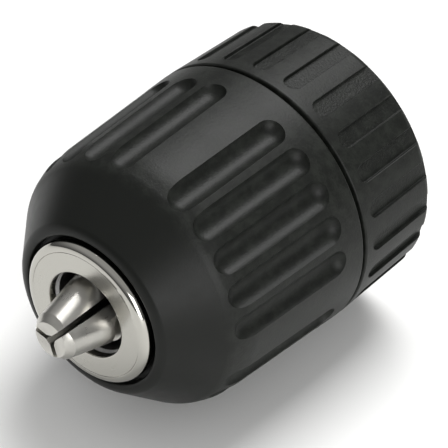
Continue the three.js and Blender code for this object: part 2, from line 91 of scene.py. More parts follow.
# gaps and walls inside the chuck
RUNNING_GAP = 0.15 * MM  # between the body and what turns or presses on it
NUT_END_GAP = 0.3 * MM  # in front of the nut, and where a sleeve's bore changes beside it
HUB_WALL = 0.5 * MM  # inside the jaw holes
HUB_GAP = 0.3 * MM  # between the rear sleeve and the hub
BEARING_SEAT_WALL = 0.46 * MM  # outside the jaw holes
SHOULDER_WALL = 1.6 * MM  # outside the jaw holes
SHOULDER_LENGTH = 12.5 * MM
GROOVE_DEPTH = 1.05 * MM  # how far the nut's groove lies inside the jaws' flanks
DRUM_BACK = REAR_SLEEVE_BACK - 2 * MM
NUT_STEP = 0.97 * MM  # the front sleeve's bore narrows here, at the nut's back
FRONT_STEP = 0.6 * MM  # and again in front of the nut
CONE_WALL = 3.2 * MM
SOFT_EDGE = 0.3 * MM  # rounding of the plastic's inner edges
STEEL_EDGE = 0.5 * MM  # rounding of the body's edges
CAP_LINE_INSET = 1.35 * MM  # from the cap's outside to the fine line on its face
CAP_LINE_DEPTH = 0.05 * MM

# ---------------------------------------------------------------- sizes and colours


def length(name, description, default_mm):
    return bpy.props.FloatProperty(
        name=name, description=description, default=default_mm * MM, unit="LENGTH", precision=5
    )


def angle(name, description, default_degrees):
    return bpy.props.FloatProperty(
        name=name, description=description, default=math.radians(default_degrees), subtype="ANGLE"
    )


def colour(name, description, default):
    return bpy.props.FloatVectorProperty(
        name=name, description=description, default=default, subtype="COLOR", min=0, max=1
    )


class ChuckSleeveSizes(bpy.types.PropertyGroup):
    """Sizes of the two grip sleeves"""

    steps: bpy.props.IntProperty(name="Steps", description="Facets round each sleeve", default=240)
    edge: length("Edge", "Rounding of the edges at the joint between the sleeves", 0.35)
    wall: length("Wall", "Thickness of the sleeves over the bearing", 2.9)
    grip_radius: length("Grip radius", "Radius at the front end of the grip", 20.35)
    bevel_length: length("Bevel length", "Length of the bevel between the grip and the nose cone", 3)
    bevel_round: length("Bevel rounding", "Rounding where the bevel leaves the grip", 1.3)
    shoulder_radius: length("Shoulder radius", "Radius where the bevel meets the nose cone", 19.3)
    cone_length: length("Cone length", "From the shoulder to the front of the lip", 7.5)
    shoulder_round: length("Shoulder rounding", "Rounding of the shoulder", 0.7)
    lip_radius: length("Lip radius", "Radius where the cone meets the front face of the lip", 13.1)
    lip_round: length("Lip rounding", "Rounding of the lip", 0.85)
    nose_hole: length("Nose hole", "Radius of the hole round the nose cap", 11.8)
    nose_hole_depth: length("Nose hole depth", "Depth of the hole round the nose cap", 1.5)
    guide_length: length("Guide length", "Length of the inner lip that runs on the nose cap", 1.6)
    guide_gap: length("Guide gap", "From the nose cap's skirt to the inner lip", 0.2)
    flute_width: length("Flute width", "Width of a finger flute", 4.95)
    flute_depth: length("Flute depth", "Depth of a finger flute", 1.4)
    flute_hollow: length("Flute hollow", "Radius of a flute's round bottom", 2.43)
    flute_rim: length("Flute rim", "Radius of a flute's rounded edge", 0.25)
    flute_back: length("Flute start", "From the front sleeve's rear edge to the flutes", 3.6)
    flute_length: length("Flute length", "Length of a flute's cutter over its round ends", 23.6)
    flute_groups: bpy.props.IntProperty(name="Flute groups", description="Groups of flutes", default=4)
    flutes_in_group: bpy.props.IntProperty(
        name="Flutes in a group", description="Flutes between two plain lands", default=5
    )
    first_flute: angle("First flute", "Place of the first flute round the axis", 25.2)
    rim_drop: length("Rim drop", "How much the rear sleeve narrows to its rim", 0.3)
    rim_round: length("Rim rounding", "Rounding of the rear sleeve's rim", 1.7)
    rear_wall: length("Rear wall", "Thickness of the rear sleeve's end wall", 1.6)
    slot_count: bpy.props.IntProperty(name="Slots", description="Slots round the rear sleeve", default=24)
    slot_width: length("Slot width", "Width of a slot of the rear sleeve", 2.66)
    slot_depth: length("Slot depth", "Depth of a slot of the rear sleeve", 0.65)
    slot_front: length("Slot end", "From the rear sleeve's front edge to the slots", 1.8)
    first_slot: angle("First slot", "Place of the first slot round the axis", 28.8)


class ChuckSteelSizes(bpy.types.PropertyGroup):
    """Sizes of the nose cap, jaws and body"""

    steps: bpy.props.IntProperty(name="Steps", description="Facets round each turned piece", default=144)
    shank_radius: length("Shank radius", "Radius of the largest shank", 6.5)
    shank_gap: length("Shank gap", "Room round the largest shank", 0.05)
    cap_hole_step: length("Cap hole step", "How much wider the nose cap's hole is than the shank bore", 0.15)
    cap_disc: length("Cap disc", "Thickness of the nose cap's front", 1.2)
    cap_wall: length("Cap wall", "Thickness of the nose cap's skirt", 0.8)
    cap_rim_lip: length("Cap rim lip", "How far the cap's rim stands out from its skirt", 0.52)
    cap_rim_round: length("Cap rim rounding", "Rounding of the nose cap's rim", 1.1)
    cap_rim_width: length("Cap rim width", "Width of the nose cap's rim", 1.9)
    jaw_count: bpy.props.IntProperty(name="Jaws", description="Jaws round the axis", default=3)
    jaw_radius: length("Jaw radius", "Radius of a jaw's round bar", 3.3)
    jaw_slant: angle("Jaw slant", "Angle between a jaw and the spindle axis", 15)
    first_jaw: angle("First jaw", "Place of the first jaw round the axis", -17)
    jaw_gap: length("Jaw gap", "Between neighbouring jaws at their shut tips", 0.8)
    jaw_relief: angle("Jaw relief", "How much a jaw's sides fall away from the gap towards the back", 1.3)
    jaw_hole_gap: length("Jaw hole gap", "Between a jaw and its hole in the body", 0.2)
    grip_radius: length("Grip radius", "Radius of the smallest shank", 0.75)
    tip_bevel: length("Tip bevel", "How much the bevel takes off the jaws' tips", 0.65)
    tip_bevel_length: length("Tip bevel length", "Length of the bevel at the jaws' tips", 1.1)
    jaw_edge: length("Jaw edge", "Rounding of the jaws' edges", 0.1)
    tooth_pitch: length("Tooth pitch", "From one tooth of a jaw to the next", 2)
    tooth_width: length("Tooth width", "Width of a jaw's tooth along the spindle axis", 0.9)
    tooth_depth: length("Tooth depth", "Depth of the gaps between the teeth", 1.3)
    thread_radius: length("Thread radius", "Outer radius of the spindle thread", 6.35)
    thread_bore: length("Thread bore", "Inner radius of the spindle thread", 5.65)
    thread_pitch: length("Thread pitch", "Pitch of the spindle thread", 1.27)
    thread_depth: length("Thread depth", "Depth of the spindle socket", 16.5)
    screw_hole: length("Screw hole", "Radius of the hole for the spindle's screw", 3.4)
    screw_web: length("Screw web", "Left between the spindle socket and the shank bore", 3.5)


class ChuckColours(bpy.types.PropertyGroup):
    """Colours of the chuck's finishes and of its stage"""

    plastic: colour("Sleeve plastic", "Glass-filled black nylon of the sleeves", (0.0075, 0.0085, 0.007))
    cap: colour("Cap chrome", "Polished steel of the nose cap", (0.46, 0.45, 0.415))
    jaw: colour("Jaw steel", "Satin steel of the jaws", (0.46, 0.45, 0.42))
    body: colour("Body steel", "Turned steel of the body", (0.42, 0.42, 0.42))
    nut: colour("Nut steel", "Dark oiled steel of the nut", (0.16, 0.16, 0.16))
    bearing: colour("Bearing steel", "Ground steel of the thrust bearing", (0.60, 0.61, 0.62))
    cage: colour("Cage nylon", "Nylon of the ball cage", (0.55, 0.42, 0.20))
    floor: colour("Floor", "Pale floor", (0.90, 0.90, 0.89))


# ---------------------------------------------------------------- shader maths


class Value:
    """A number that varies over a surface. Sums and products of values add Math nodes."""

    def __init__(self, finish, socket):
        self.finish = finish
        self.socket = socket

    def __add__(self, other):
        return self.finish.maths("ADD", self, other)

    __radd__ = __add__

    def __sub__(self, other):
        return self.finish.maths("SUBTRACT", self, other)

    def __rsub__(self, other):
        return self.finish.maths("SUBTRACT", other, self)

    def __mul__(self, other):
        return self.finish.maths("MULTIPLY", self, other)

    __rmul__ = __mul__

    def __truediv__(self, other):
        return self.finish.maths("DIVIDE", self, other)

    def __pow__(self, other):
        return self.finish.maths("POWER", self, other)

    def above(self, low, high):
        """0 under low, 1 over high and a smooth rise between them."""
        settings = {"interpolation_type": "SMOOTHSTEP"}
        sockets = {"Value": self, "From Min": low, "From Max": high}
        return self.finish.add("ShaderNodeMapRange", settings, sockets)["Result"]


class Finish:
    """A material made of one Principled surface and the nodes that feed it."""

    def __init__(self, name, base, roughness, metallic=0.0, specular=0.5, coat=0.0, coat_roughness=0.1):
        self.material = bpy.data.materials.new(name)
        self.material.use_nodes = True
        self.tree = self.material.node_tree
        self.surface = self.tree.nodes["Principled BSDF"]
        self.base = (*base, 1)
        self.feed("Base Color", self.base)
        self.feed("Roughness", roughness)
        self.feed("Metallic", metallic)
        self.feed("Specular IOR Level", specular)
        self.feed("Coat Weight", coat)
        self.feed("Coat Roughness", coat_roughness)
        self.material.diffuse_color = self.base

    def add(self, kind, settings=None, sockets=None):
        """A new node. Its outputs come back as values by name."""
        node = self.tree.nodes.new(kind)
        for name, setting in (settings or {}).items():
            setattr(node, name, setting)
        for name, source in (sockets or {}).items():
            self.connect(source, node.inputs[name])
        return {output.name: Value(self, output) for output in node.outputs}

    def connect(self, source, socket):
        if isinstance(source, Value):
            self.tree.links.new(source.socket, socket)
        else:
            socket.default_value = source

    def feed(self, name, source):
        self.connect(source, self.surface.inputs[name])

    def maths(self, operation, *sources):
        sockets = dict(enumerate(sources))
        return self.add("ShaderNodeMath", {"operation": operation}, sockets)["Value"]

    def place(self):
        """The surface's place in the frame."""
        return self.add("ShaderNodeTexCoord")["Object"]

    def split(self, vector):
        parts = self.add("ShaderNodeSeparateXYZ", sockets={"Vector": vector})
        return parts["X"], parts["Y"], parts["Z"]

    def from_axis(self):
        """Distance from the spindle axis, and place along it."""
        x, y, z = self.split(self.place())
        return (x * x + z * z) ** 0.5, y

    def noise(self, size, detail=2.0, roughness=0.5, stretch=(1, 1, 1)):
        """Even noise from 0 to 1 with features of a size in metres."""
        scaled = self.add(
            "ShaderNodeMapping", sockets={"Vector": self.place(), "Scale": [part / size for part in stretch]}
        )["Vector"]
        sockets = {"Vector": scaled, "Scale": 1.0, "Detail": detail, "Roughness": roughness}
        return self.add("ShaderNodeTexNoise", sockets=sockets)["Fac"]

    def blend_colours(self, factor, first, second):
        """First where the factor is 0, second where it is 1."""
        node = self.tree.nodes.new("ShaderNodeMix")
        node.data_type = "RGBA"
        self.connect(factor, node.inputs["Factor"])
        colours = [socket for socket in node.inputs if socket.type == "RGBA"]
        for source, socket in zip((first, second), colours):
            self.connect(source, socket)
        result = next(socket for socket in node.outputs if socket.type == "RGBA")
        return Value(self, result)

    def bump(self, height, depth, strength=1.0):
        """Relief of a depth in metres, for a height from 0 to 1."""
        sockets = {"Height": height, "Distance": depth, "Strength": strength}
        self.feed("Normal", self.add("ShaderNodeBump", sockets=sockets)["Normal"])


def shade_of(base, factor):
    return (base[0] * factor, base[1] * factor, base[2] * factor, 1)


def plastic_finish(colours, sizes):
    """Moulded plastic: grainy where hands hold it, smoother on the nose cone."""
    finish = Finish("sleeve plastic", colours.plastic, roughness=0.45, specular=0.2)
    radius, y = finish.from_axis()
    shoulder = FRONT_SLEEVE_FRONT + sizes.cone_length
    grip = y.above(shoulder - 1.5 * MM, shoulder + 0.5 * MM)
    grain = finish.noise(0.35 * MM, detail=3.0, roughness=0.6)
    mottle = finish.noise(1.6 * MM, detail=2.0)
    cloud = finish.noise(7 * MM, detail=2.0)
    finish.feed("Roughness", 0.40 + 0.06 * grip + 0.10 * (mottle - 0.5) + 0.08 * (cloud - 0.5))
    tone = (0.6 * mottle + 0.4 * grain).above(0.4, 0.65) * grip
    finish.feed(
        "Base Color",
        finish.blend_colours(tone, shade_of(colours.plastic, 0.8), shade_of(colours.plastic, 1.7)),
    )
    floor_radius = SLEEVE_RADIUS - sizes.slot_depth
    quarter = sizes.slot_depth / 4
    slot_floor = 1 - radius.above(floor_radius + quarter, floor_radius + 2 * quarter)
    rear = y.above(REAR_SLEEVE_FRONT, REAR_SLEEVE_FRONT + 0.1 * MM)
    relief = grain * (0.3 + 0.9 * grip + 2.0 * slot_floor * rear)
    finish.bump(relief, 0.03 * MM)
    return finish.material


def cap_finish(colours):
    """Polished rim and a satin face with turning marks."""
    finish = Finish("cap chrome", colours.cap, roughness=0.1, metallic=1.0)
    radius, y = finish.from_axis()
    face = 1 - radius.above(CAP_RADIUS - 1.4 * MM, CAP_RADIUS - 1.25 * MM)
    rings = finish.add(
        "ShaderNodeTexNoise",
        {"noise_dimensions": "1D"},
        {"W": radius / (0.12 * MM), "Scale": 1.0, "Detail": 2.0},
    )["Fac"]
    smear = finish.noise(2.5 * MM, detail=3.0)
    finish.feed("Roughness", 0.09 + face * (0.16 + 0.10 * (smear - 0.5)) + 0.04 * face * (rings - 0.5))
    finish.bump(rings * face, 0.0025 * MM)
    return finish.material


def brushed_finish(name, base, roughness, size, stretch):
    """Steel with fine marks along one direction."""
    finish = Finish(name, base, roughness=roughness, metallic=1.0)
    marks = finish.noise(size, detail=3.0, roughness=0.6, stretch=stretch)
    cloud = finish.noise(3 * MM, detail=2.0)
    finish.feed("Roughness", roughness + 0.10 * (marks - 0.5) + 0.10 * (cloud - 0.5))
    tone = finish.blend_colours(cloud.above(0.3, 0.7), shade_of(base, 0.9), shade_of(base, 1.08))
    finish.feed("Base Color", tone)
    finish.bump(marks, 0.004 * MM)
    return finish.material


def turned_finish(name, base, roughness):
    """Steel with fine turning marks round the spindle axis."""
    finish = Finish(name, base, roughness=roughness, metallic=1.0)
    radius, y = finish.from_axis()
    marks = finish.add(
        "ShaderNodeTexNoise",
        {"noise_dimensions": "1D"},
        {"W": (radius + y) / (0.1 * MM), "Scale": 1.0, "Detail": 2.0},
    )["Fac"]
    cloud = finish.noise(4 * MM, detail=3.0)
    finish.feed("Roughness", roughness + 0.10 * (marks - 0.5) + 0.12 * (cloud - 0.5))
    finish.bump(marks, 0.004 * MM)
    return finish.material


def cage_finish(colours):
    finish = Finish("cage nylon", colours.cage, roughness=0.45)
    mottle = finish.noise(0.8 * MM, detail=3.0)
    tones = (shade_of(colours.cage, 0.85), shade_of(colours.cage, 1.1))
    finish.feed("Base Color", finish.blend_colours(mottle, *tones))
    finish.feed("Roughness", 0.4 + 0.15 * mottle)
    return finish.material


def floor_finish(colours):
    finish = Finish("pale floor", colours.floor, roughness=0.7, specular=0.2)
    return finish.material


# ---------------------------------------------------------------- modelling


def start_afresh():
    if bpy.context.object and bpy.context.object.mode != "OBJECT":
        bpy.ops.object.mode_set(mode="OBJECT")
    bpy.ops.object.select_all(action="DESELECT")


def only(piece):
    start_afresh()
    piece.select_set(True)
    bpy.context.view_layer.objects.active = piece


def edit(piece):
    """Goes into edit mode with nothing selected and returns the mesh that is being edited."""
    only(piece)
    bpy.ops.object.mode_set(mode="EDIT")
    bpy.ops.mesh.select_all(action="DESELECT")
    return bmesh.from_edit_mesh(piece.data)


def leave_edit():
    bpy.ops.object.mode_set(mode="OBJECT")


def apply_place(piece):
    only(piece)
    bpy.ops.object.transform_apply(location=True, rotation=True, scale=True)


def outline_piece(name, corners, along, closed):
    """A wire outline. A corner is (first, second, rounding), and along turns the first two into a place."""
    start_afresh()
    bpy.ops.mesh.primitive_plane_add(size=MM, location=(0, 0, 0))
    piece = bpy.context.object
    piece.name = name
    piece.data.name = name
    bpy.ops.object.mode_set(mode="EDIT")
    bpy.ops.mesh.select_all(action="SELECT")
    bpy.ops.mesh.merge(type="CENTER")
    places = [along(*corner[:2]) for corner in corners]
    bpy.ops.transform.translate(value=places[0])
    for before, after in zip(places, places[1:]):
        bpy.ops.mesh.extrude_region_move(TRANSFORM_OT_translate={"value": after - before})
    if closed:
        mesh = edit(piece)
        for vert in mesh.verts:
            vert.select = min((vert.co - places[i]).length for i in (0, -1)) < 1e-7
        bmesh.update_edit_mesh(piece.data)
        bpy.ops.mesh.edge_face_add()
    for corner, place in zip(corners, places):
        if len(corner) > 2:
            round_corner(piece, place, corner[2])
    return piece


def round_corner(piece, place, amount):
    mesh = edit(piece)
    nearest = min(mesh.verts, key=lambda vert: (vert.co - place).length)
    nearest.select = True
    bmesh.update_edit_mesh(piece.data)
    segments = 3 if amount < 0.4 * MM else 6
    bpy.ops.mesh.bevel(offset=amount, offset_type="OFFSET", segments=segments, affect="VERTICES")


def clean(piece):
    """Merges what meets and points the faces outwards."""
    edit(piece)
    bpy.ops.mesh.select_all(action="SELECT")
    bpy.ops.mesh.remove_doubles(threshold=1e-7)
    bpy.ops.mesh.dissolve_degenerate(threshold=1e-7)
    bpy.ops.mesh.normals_make_consistent(inside=False)
    leave_edit()


def turned(name, corners, steps, closed=True):
    """A ring turned about the spindle axis, or a solid shaft if its outline starts and ends on the axis."""
    piece = outline_piece(name, corners, lambda radius, y: Vector((radius, y, 0)), closed)
    edit(piece)
    bpy.ops.mesh.select_all(action="SELECT")
    bpy.ops.mesh.spin(steps=steps, angle=FULL_TURN, center=(0, 0, 0), axis=(0, 1, 0))
    clean(piece)
    return piece


def long_cutter(name, corners, travel, steps=32):
    """A round cutter about Z whose one half is drawn out along Y by travel, so it has round ends."""
    piece = outline_piece(name, corners, lambda across, height: Vector((across, 0, height)), False)
    edit(piece)
    bpy.ops.mesh.select_all(action="SELECT")
    bpy.ops.mesh.spin(steps=steps, angle=FULL_TURN, center=(0, 0, 0), axis=(0, 0, 1))
    clean(piece)
    mesh = edit(piece)
    bpy.ops.mesh.select_mode(type="FACE")
    for face in mesh.faces:
        face.select = face.calc_center_median().y * travel > 0
    mesh.select_flush_mode()
    bmesh.update_edit_mesh(piece.data)
    bpy.ops.mesh.extrude_region_move(TRANSFORM_OT_translate={"value": (0, travel, 0)})
    bpy.ops.mesh.select_mode(type="VERT")
    leave_edit()
    clean(piece)
    return piece


def copies_round(piece, places):
    """Copies of a piece turned about the spindle axis to the places, joined as one. The first is removed."""
    copies = []
    for place in places:
        only(piece)
        bpy.ops.object.duplicate()
        copy = bpy.context.object
        copy.rotation_euler = (0, place, 0)
        apply_place(copy)
        copies.append(copy)
    discard(piece)
    return joined(copies)


def joined(parts):
    start_afresh()
    for part in parts:
        part.select_set(True)
    bpy.context.view_layer.objects.active = parts[0]
    if len(parts) > 1:
        bpy.ops.object.join()
    return parts[0]


def discard(piece):
    only(piece)
    bpy.ops.object.delete()


def modify(piece, kind, **settings):
    """Adds a modifier with its settings and applies it."""
    only(piece)
    modifier = piece.modifiers.new(kind.title(), kind)
    for name, setting in settings.items():
        setattr(modifier, name, setting)
    bpy.ops.object.modifier_apply(modifier=modifier.name)


def cut(piece, cutter, operation="DIFFERENCE"):
    modify(piece, "BOOLEAN", operation=operation, object=cutter, solver="EXACT")
    discard(cutter)


def smooth(piece, sharp=32):
    """Shades smooth over all edges flatter than an angle in degrees."""
    only(piece)
    bpy.ops.object.shade_smooth_by_angle(angle=math.radians(sharp))
    modify(piece, "WEIGHTED_NORMAL", keep_sharp=True, weight=60)


def finish_piece(piece, name, material, body, node):
    """Names a piece, gives it its finish and ties it to the frame."""
    piece.name = name
    piece.data.name = name
    piece.data.materials.clear()
    piece.data.materials.append(material)
    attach(piece, body)
    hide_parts(node)
    return piece


def scene_sizes():
    scene = bpy.context.scene
    return scene.chuck_sleeves, scene.chuck_steel, scene.chuck_colours


# ---------------------------------------------------------------- the chuck's pieces


class CHUCK_OT_front_sleeve(bpy.types.Operator):
    """Model the fluted front sleeve that opens and closes the jaws"""

    bl_idname = "chuck.front_sleeve"
    bl_label = "Front Sleeve"

    def execute(self, context):
        sizes, steel, colours = scene_sizes()
        piece = turned("front_sleeve_looks", self.outline(sizes, steel), sizes.steps)
        grip_front = FRONT_SLEEVE_FRONT + sizes.cone_length + sizes.bevel_length
        taper = math.atan((SLEEVE_RADIUS - sizes.grip_radius) / (FRONT_SLEEVE_BACK - grip_front))
        # neighbouring flutes are cut in turn, because their cutters overlap over the ribs
        places = sizes.flute_groups * (sizes.flutes_in_group + 1)
        for first in (0, 1):
            wanted = [
                sizes.first_flute + FULL_TURN * number / places
                for number in range(first, places, 2)
                if number % (sizes.flutes_in_group + 1) != sizes.flutes_in_group
            ]
            cut(piece, copies_round(self.flute(sizes, taper), wanted))
        smooth(piece)
        material = plastic_finish(colours, sizes)
        finish_piece(piece, "front_sleeve_looks", material, "sleeve", "front_sleeve")
        return {"FINISHED"}

    def outline(self, sizes, steel):
        bore = SLEEVE_RADIUS - sizes.wall
        shoulder = FRONT_SLEEVE_FRONT + sizes.cone_length
        guide_front = FRONT_SLEEVE_FRONT + sizes.nose_hole_depth
        guide_back = guide_front + sizes.guide_length
        guide = CAP_RADIUS - steel.cap_rim_lip + sizes.guide_gap
        nut_bore = bore - NUT_STEP
        front_bore = nut_bore - FRONT_STEP
        return [
            (bore, FRONT_SLEEVE_BACK, SOFT_EDGE),
            (SLEEVE_RADIUS, FRONT_SLEEVE_BACK, sizes.edge),
            (sizes.grip_radius, shoulder + sizes.bevel_length, sizes.bevel_round),
            (sizes.shoulder_radius, shoulder, sizes.shoulder_round),
            (sizes.lip_radius, FRONT_SLEEVE_FRONT, sizes.lip_round),
            (sizes.nose_hole, FRONT_SLEEVE_FRONT, SOFT_EDGE),
            (sizes.nose_hole, guide_front),
            (guide, guide_front),
            (guide, guide_back),
            (sizes.shoulder_radius - CONE_WALL, shoulder),
            (front_bore, shoulder + sizes.bevel_length),
            (front_bore, NUT_FRONT - NUT_END_GAP),
            (nut_bore, NUT_FRONT - NUT_END_GAP),
            (nut_bore, NUT_BACK - NUT_END_GAP),
            (bore, NUT_BACK - NUT_END_GAP),
        ]

    def flute(self, sizes, taper):
        """A cutter for the flute over +Z: round below, with a flared rim that rounds the flute's edges."""
        half = sizes.flute_width / 2
        middle = sizes.flute_hollow - sizes.flute_depth
        reach = sizes.flute_hollow + sizes.flute_rim
        side = math.asin(half / reach)
        rim_height = middle - reach * math.cos(side)
        flare = math.radians(15)
        below = arc(0, middle, sizes.flute_hollow, 0, side, 10)
        rim = arc(half, rim_height, sizes.flute_rim, side + math.pi, FULL_TURN / 2 + flare, 6)
        last_across, last_height = rim[-1]
        wide = last_across + (0 - last_height) / math.tan(flare)
        outline = below + rim[1:] + [(wide, 0), (wide, 3 * MM), (0, 3 * MM)]
        back = FRONT_SLEEVE_BACK - sizes.flute_back - half
        travel = sizes.flute_width - sizes.flute_length
        cutter = long_cutter("flute_cutter", outline, travel)
        cutter.rotation_euler = (taper, 0, 0)
        drop = (FRONT_SLEEVE_BACK - back) * math.tan(taper)
        cutter.location = (0, back, SLEEVE_RADIUS - drop)
        apply_place(cutter)
        return cutter


def arc(across, height, radius, start, end, steps):
    """Points on part of a circle. Angle 0 is straight down and angles grow outwards."""
    turns = [start + (end - start) * step / steps for step in range(steps + 1)]
    return [(across + radius * math.sin(turn), height - radius * math.cos(turn)) for turn in turns]


class CHUCK_OT_rear_sleeve(bpy.types.Operator):
    """Model the slotted rear sleeve that is pressed onto the body"""

    bl_idname = "chuck.rear_sleeve"
    bl_label = "Rear Sleeve"

    def execute(self, context):
        sizes, steel, colours = scene_sizes()
        rim = SLEEVE_RADIUS - sizes.rim_drop
        bore = SLEEVE_RADIUS - sizes.wall
        hole = hub_radius(steel) + HUB_GAP
        outline = [
            (hole, REAR_SLEEVE_BACK, SOFT_EDGE),
            (rim, REAR_SLEEVE_BACK, sizes.rim_round),
            (SLEEVE_RADIUS, REAR_SLEEVE_FRONT, sizes.edge),
            (bore, REAR_SLEEVE_FRONT, SOFT_EDGE),
            (bore, REAR_SLEEVE_BACK - sizes.rear_wall),
            (hole, REAR_SLEEVE_BACK - sizes.rear_wall),
        ]
        piece = turned("rear_sleeve_looks", outline, sizes.steps)
        taper = math.atan(sizes.rim_drop / (REAR_SLEEVE_BACK - REAR_SLEEVE_FRONT))
        between = FULL_TURN / sizes.slot_count
        places = [sizes.first_slot + between * number for number in range(sizes.slot_count)]
        cut(piece, copies_round(self.slot(sizes, taper), places))
        smooth(piece)
        material = plastic_finish(colours, sizes)
        finish_piece(piece, "rear_sleeve_looks", material, "body", "rear_sleeve")
        return {"FINISHED"}

    def slot(self, sizes, taper):
        """A cutter for the slot over +Z: flat below, with a small flare that bevels the slot's edges."""
        half = sizes.slot_width / 2
        floor = -sizes.slot_depth
        bevel = 0.14 * MM
        outline = [
            (0, floor),
            (half, floor, 0.15 * MM),
            (half, -bevel),
            (half + 2 * bevel, bevel),
            (half + 2 * bevel, 2 * MM),
            (0, 2 * MM),
        ]
        middle = REAR_SLEEVE_FRONT + sizes.slot_front + half
        travel = REAR_SLEEVE_BACK - middle + 3 * MM
        cutter = long_cutter("slot_cutter", outline, travel)
        cutter.rotation_euler = (-taper, 0, 0)
        drop = (middle - REAR_SLEEVE_FRONT) * math.tan(taper)
        cutter.location = (0, middle, SLEEVE_RADIUS - drop)
        apply_place(cutter)
        return cutter


class CHUCK_OT_nose_cap(bpy.types.Operator):
    """Model the bright cap pressed over the body's nose"""

    bl_idname = "chuck.nose_cap"
    bl_label = "Nose Cap"

    def execute(self, context):
        sizes, steel, colours = scene_sizes()
        hole = steel.shank_radius + steel.shank_gap + steel.cap_hole_step
        skirt = CAP_RADIUS - steel.cap_rim_lip
        inside = skirt - steel.cap_wall
        disc_back = CAP_FRONT + steel.cap_disc
        rim_back = CAP_FRONT + steel.cap_rim_width
        line = CAP_RADIUS - CAP_LINE_INSET
        outline = [
            (hole, disc_back),
            (inside, disc_back),
            (inside, CAP_SKIRT_BACK),
            (skirt, CAP_SKIRT_BACK, 0.15 * MM),
            (skirt, rim_back),
            (CAP_RADIUS, rim_back, 0.15 * MM),
            (CAP_RADIUS, CAP_FRONT, steel.cap_rim_round),
            (line + CAP_LINE_DEPTH, CAP_FRONT),
            (line, CAP_FRONT + CAP_LINE_DEPTH),
            (line - CAP_LINE_DEPTH, CAP_FRONT),
            (hole, CAP_FRONT, 0.22 * MM),
        ]
        piece = turned("nose_cap_looks", outline, steel.steps)
        smooth(piece)
        finish_piece(piece, "nose_cap_looks", cap_finish(colours), "body", "nose_cap")
        return {"FINISHED"}


def jaw_centre(steel, y):
    """Distance of a jaw's centre line from the spindle axis."""
    return (y - JAW_TIP) * math.tan(steel.jaw_slant)


def slanted_bar(steel, name, radius, vertices):
    """A long round bar on the centre line of the jaw over +Z."""
    start_afresh()
    bpy.ops.mesh.primitive_cylinder_add(vertices=vertices, radius=radius, depth=0.2, location=(0, 0, 0))
    bar = bpy.context.object
    bar.name = name
    bar.rotation_euler = (steel.jaw_slant - math.pi / 2, 0, 0)
    bar.location = (0, JAW_TIP, 0)
    apply_place(bar)
    return bar


def hub_radius(steel):
    """Radius of the body's hub, just inside the jaw holes at the drum's rear."""
    hole = (steel.jaw_radius + steel.jaw_hole_gap) / math.cos(steel.jaw_slant)
    return jaw_centre(steel, DRUM_BACK) - hole - HUB_WALL


def trim(piece, place, normal):
    """Cuts off what lies beyond a plane, on the side its normal points to, and closes the cut."""
    edit(piece)
    bpy.ops.mesh.select_all(action="SELECT")
    bpy.ops.mesh.bisect(plane_co=place, plane_no=normal, use_fill=True, clear_outer=True, threshold=1e-7)
    leave_edit()


